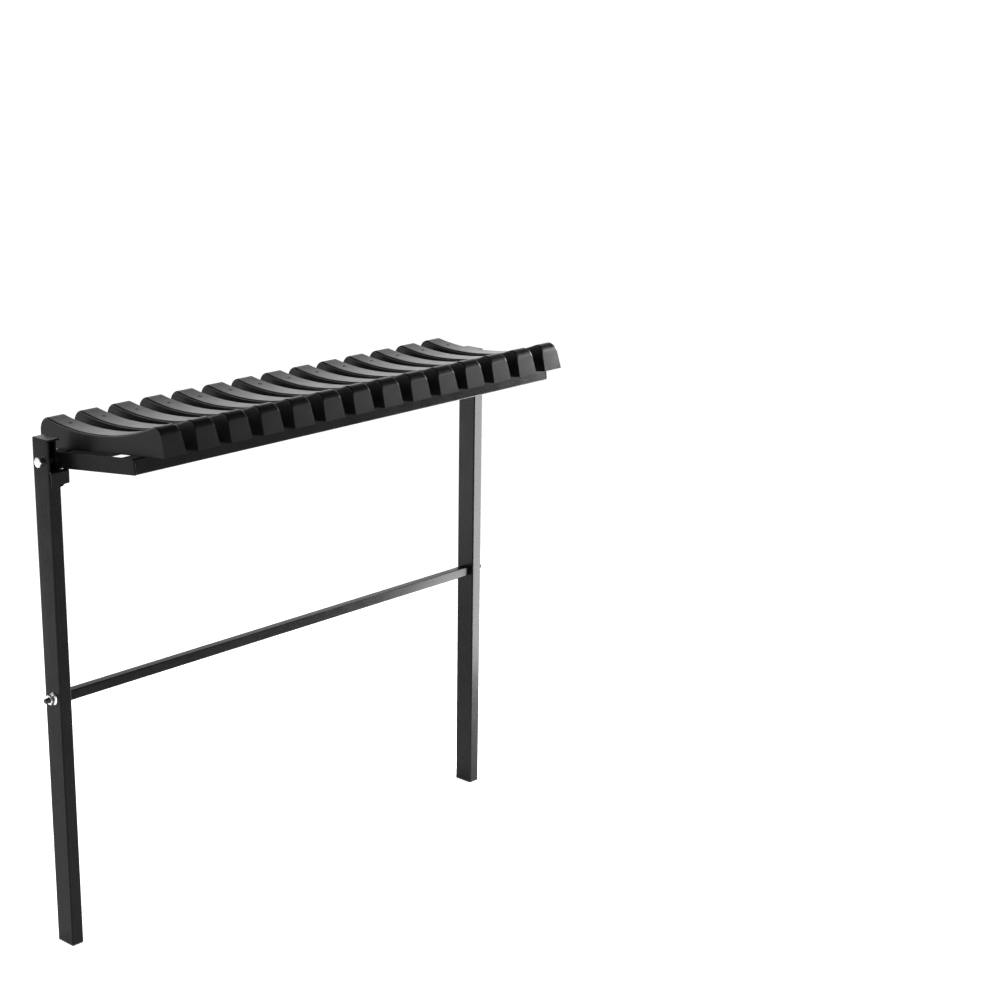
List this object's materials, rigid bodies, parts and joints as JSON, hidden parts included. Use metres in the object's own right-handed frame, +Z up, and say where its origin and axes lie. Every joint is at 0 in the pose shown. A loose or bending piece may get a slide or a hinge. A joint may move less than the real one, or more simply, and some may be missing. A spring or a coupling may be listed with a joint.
{
  "type": "folding slatted bench seat",
  "caption": "Two-post bench with a dished slatted seat on a folding frame that turns up and over the posts to hang down between them.",
  "frame": {"origin": "on the ground, halfway between the two posts' feet", "axes": "+X along the bench to the right post, +Y to the back, +Z up; the seat reaches out to -Y"},
  "size_m": [0.911, 0.2705, 0.8013],
  "materials": {
    "black_powder_coat": "satin",
    "black_moulded_plastic": "gloss",
    "zinc_plate": "satin",
    "black_nylon": "matte",
    "dark_plugs": "matte",
    "black_oxide_steel": "satin"
  },
  "bodies": {
    "frame": {"crossbar": "black_powder_coat", "left_bar_insert": "zinc_plate", "left_bar_nut": "zinc_plate", "left_bar_stud": "black_oxide_steel", "left_foot_plug": "dark_plugs", "left_pivot_bolt": "zinc_plate", "left_pivot_nut": "zinc_plate", "left_pivot_sleeve": "black_oxide_steel", "left_pivot_spacer": "black_nylon", "left_pivot_washer": "zinc_plate", "left_post": "black_powder_coat", "left_stop_bracket": "black_powder_coat", "left_top_plate": "black_powder_coat", "right_bar_insert": "zinc_plate", "right_bar_nut": "zinc_plate", "right_bar_stud": "black_oxide_steel", "right_foot_plug": "dark_plugs", "right_pivot_bolt": "zinc_plate", "right_pivot_nut": "zinc_plate", "right_pivot_sleeve": "black_oxide_steel", "right_pivot_spacer": "black_nylon", "right_pivot_washer": "zinc_plate", "right_post": "black_powder_coat", "right_stop_bracket": "black_powder_coat", "right_top_plate": "black_powder_coat"},
    "seat": {"front_beam": "black_powder_coat", "front_slat_screws": "black_oxide_steel", "left_pivot_bush": "black_nylon", "left_side_arm": "black_powder_coat", "rear_beam": "black_powder_coat", "rear_slat_screws": "black_oxide_steel", "right_pivot_bush": "black_nylon", "right_side_arm": "black_powder_coat", "slat_01": "black_moulded_plastic", "slat_02": "black_moulded_plastic", "slat_03": "black_moulded_plastic", "slat_04": "black_moulded_plastic", "slat_05": "black_moulded_plastic", "slat_06": "black_moulded_plastic", "slat_07": "black_moulded_plastic", "slat_08": "black_moulded_plastic", "slat_09": "black_moulded_plastic", "slat_10": "black_moulded_plastic", "slat_11": "black_moulded_plastic", "slat_12": "black_moulded_plastic", "slat_13": "black_moulded_plastic", "slat_14": "black_moulded_plastic"}
  },
  "joints": [
    {"name": "seat_fold", "type": "hinge", "parent": "frame", "child": "seat", "pos_m": [0, 0, 0.7272], "axis": [1, 0, 0], "range_deg": [-279, 0]}
  ]
}
